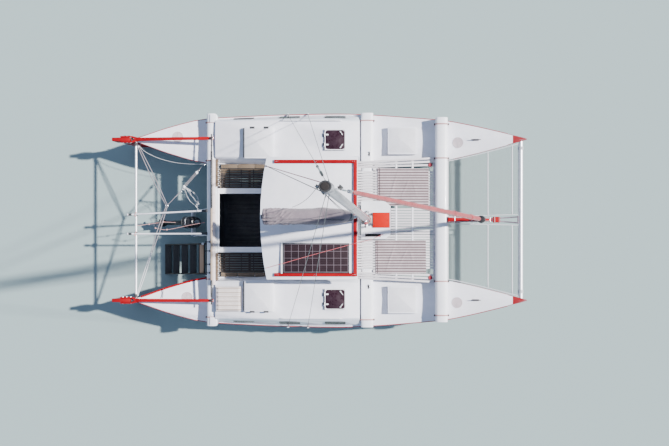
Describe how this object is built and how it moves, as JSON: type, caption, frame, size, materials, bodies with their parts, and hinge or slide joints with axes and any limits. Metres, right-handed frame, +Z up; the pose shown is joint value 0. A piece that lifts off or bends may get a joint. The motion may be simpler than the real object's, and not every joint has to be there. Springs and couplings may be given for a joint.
{
  "type": "sailing catamaran, nine metre plywood double canoe",
  "caption": "Cruising catamaran with two slim V hulls on lashed beams, hardtop cockpit, slatted deck, bow nets, furled sails, twin rudders and a tilted outboard.",
  "frame": {"origin": "amidships between the hulls, at the waterline", "axes": "+X towards the bows, +Y to port, +Z up"},
  "size_m": [9.6079, 5.0644, 10.526],
  "materials": {
    "hull_white": "gloss white paint over epoxy-sheathed plywood",
    "deck_white": "satin non-skid white deck paint",
    "red_paint": "gloss red paint",
    "mast_alloy": "anodised aluminium, slightly dulled",
    "rig_steel": "stainless wire and fittings",
    "deck_slats": "pale painted wooden slats",
    "bench_slats": "bare weathered wooden slats",
    "smoked_acrylic": "smoked acrylic in a rounded frame",
    "solar_cells": "dark crystalline cells under glass",
    "motor_black": "black cowling and leg",
    "fitting_black": "black moulded fittings",
    "cover_canvas": "faded mauve-grey woven canvas",
    "furled_sail": "salmon sun strip wound in a spiral",
    "net_cord": "pale grey-green trampoline netting",
    "cushion_fabric": "beige and white ribbed cotton",
    "ladder_wood": "dark oiled wood, tan at the top tread",
    "bronze": "cast aluminium propeller"
  },
  "bodies": {
    "boat": {"port_hull": "hull_white", "starboard_hull": "hull_white", "port_cabin": "deck_white", "starboard_cabin": "deck_white", "mast_beam": "deck_white", "forward_beam": "deck_white", "aft_beam": "deck_white", "cockpit_tub": "deck_white", "hardtop_roof": "deck_white", "pod_front_wall": "deck_white", "mast_foot_locker": "deck_white", "motor_sled": "deck_white", "port_stern_pole": "deck_white", "starboard_stern_pole": "deck_white", "roof_rails": "red_paint", "bow_spar": "red_paint", "mast": "mast_alloy", "bow_tube": "mast_alloy", "stern_tube": "mast_alloy", "port_roof_post": "mast_alloy", "starboard_roof_post": "mast_alloy", "port_bow_cleat": "mast_alloy", "starboard_bow_cleat": "mast_alloy", "port_aft_shroud": "rig_steel", "port_forward_shroud": "rig_steel", "starboard_aft_shroud": "rig_steel", "starboard_forward_shroud": "rig_steel", "spar_fork": "rig_steel", "forestay_head": "rig_steel", "port_deck_slats": "deck_slats", "starboard_deck_slats": "deck_slats", "centre_deck_slats": "deck_slats", "port_bench_slats": "bench_slats", "starboard_bench_slats": "bench_slats", "solar_panel": "solar_cells", "motor_clamp": "motor_black", "furler_drum": "fitting_black", "furled_jib": "furled_sail", "port_bow_net": "net_cord", "starboard_bow_net": "net_cord", "ribbed_cushion": "cushion_fabric"},
    "port_steering": {"port_rudder": "red_paint", "port_tiller": "red_paint"},
    "starboard_steering": {"starboard_rudder": "red_paint", "starboard_tiller": "red_paint"},
    "cross_bar": {"tiller_bar": "fitting_black"},
    "boom_swing": {"boom": "mast_alloy", "sail_cover": "cover_canvas"},
    "motor_tilt_body": {"motor_tilt_bracket": "motor_black"},
    "motor_steer_body": {"outboard_motor": "motor_black"},
    "propeller_body": {"propeller": "bronze"},
    "ladder": {"boarding_ladder": "ladder_wood"},
    "port_companion": {"port_companion_lid": "deck_white"},
    "starboard_companion": {"starboard_companion_lid": "deck_white"},
    "port_hatch": {"port_roof_hatch": "smoked_acrylic"},
    "starboard_hatch": {"starboard_roof_hatch": "smoked_acrylic"},
    "port_foredeck": {"port_foredeck_lid": "deck_white"},
    "starboard_foredeck": {"starboard_foredeck_lid": "deck_white"},
    "mast_locker": {"locker_lid": "red_paint"}
  },
  "joints": [
    {"name": "port_rudder_turn", "type": "hinge", "parent": "boat", "child": "port_steering", "pos_m": [-4.65, 1.865, 1.25], "axis": [-0.1883, 0, 0.9821], "range_deg": [-32, 32]},
    {"name": "starboard_rudder_turn", "type": "hinge", "parent": "boat", "child": "starboard_steering", "pos_m": [-4.65, -1.865, 1.25], "axis": [-0.1883, 0, 0.9821], "range_deg": [-32, 32]},
    {"name": "cross_bar_pivot", "type": "hinge", "parent": "port_steering", "child": "cross_bar", "pos_m": [-2.69, 1.865, 1.45], "axis": [-0.1883, 0, 0.9821], "range_deg": [-32, 32]},
    {"name": "boom_gooseneck", "type": "hinge", "parent": "boat", "child": "boom_swing", "pos_m": [0.7, 0, 2.4], "axis": [-0.0343, 0, 0.9994], "range_deg": [-50, 50]},
    {"name": "motor_lower", "type": "hinge", "parent": "boat", "child": "motor_tilt_body", "pos_m": [-3.45, -0.03, 0.45], "axis": [0, -1, 0], "range_deg": [0, 60]},
    {"name": "motor_steer", "type": "hinge", "parent": "motor_tilt_body", "child": "motor_steer_body", "pos_m": [-3.4975, -0.03, 0.53227], "axis": [0.866, 0, 0.5], "range_deg": [-40, 40]},
    {"name": "propeller_spin", "type": "hinge", "parent": "motor_steer_body", "child": "propeller_body", "pos_m": [-4.22169, -0.03, 0.2966], "axis": [-0.5, 0, 0.866], "continuous": true},
    {"name": "ladder_raise", "type": "hinge", "parent": "boat", "child": "ladder", "pos_m": [-2.905, -0.8975, 0.955], "axis": [0, 1, 0], "range_deg": [0, 38]},
    {"name": "port_companion_hinge", "type": "hinge", "parent": "boat", "child": "port_companion", "pos_m": [-1.6, 2.132, 1.369], "axis": [-1, 0, 0], "range_deg": [0, 100]},
    {"name": "port_hatch_hinge", "type": "hinge", "parent": "boat", "child": "port_hatch", "pos_m": [-0.103, 1.837, 1.374], "axis": [0, -1, 0], "range_deg": [0, 90]},
    {"name": "port_foredeck_hinge", "type": "hinge", "parent": "boat", "child": "port_foredeck", "pos_m": [2.04, 1.858, 1.0484], "axis": [0, 1, 0], "range_deg": [0, 95]},
    {"name": "starboard_companion_hinge", "type": "hinge", "parent": "boat", "child": "starboard_companion", "pos_m": [-1.6, -2.132, 1.369], "axis": [1, 0, 0], "range_deg": [0, 100]},
    {"name": "starboard_hatch_hinge", "type": "hinge", "parent": "boat", "child": "starboard_hatch", "pos_m": [-0.103, -1.837, 1.374], "axis": [0, -1, 0], "range_deg": [0, 90]},
    {"name": "starboard_foredeck_hinge", "type": "hinge", "parent": "boat", "child": "starboard_foredeck", "pos_m": [2.04, -1.858, 1.0484], "axis": [0, 1, 0], "range_deg": [0, 95]},
    {"name": "locker_lid_hinge", "type": "hinge", "parent": "boat", "child": "mast_locker", "pos_m": [1.402, -0.01, 1.312], "axis": [0, 1, 0], "range_deg": [0, 100]}
  ],
  "couplings": [
    {"joint": "starboard_rudder_turn", "follows": "port_rudder_turn", "ratio": 1},
    {"joint": "cross_bar_pivot", "follows": "port_rudder_turn", "ratio": -1}
  ]
}
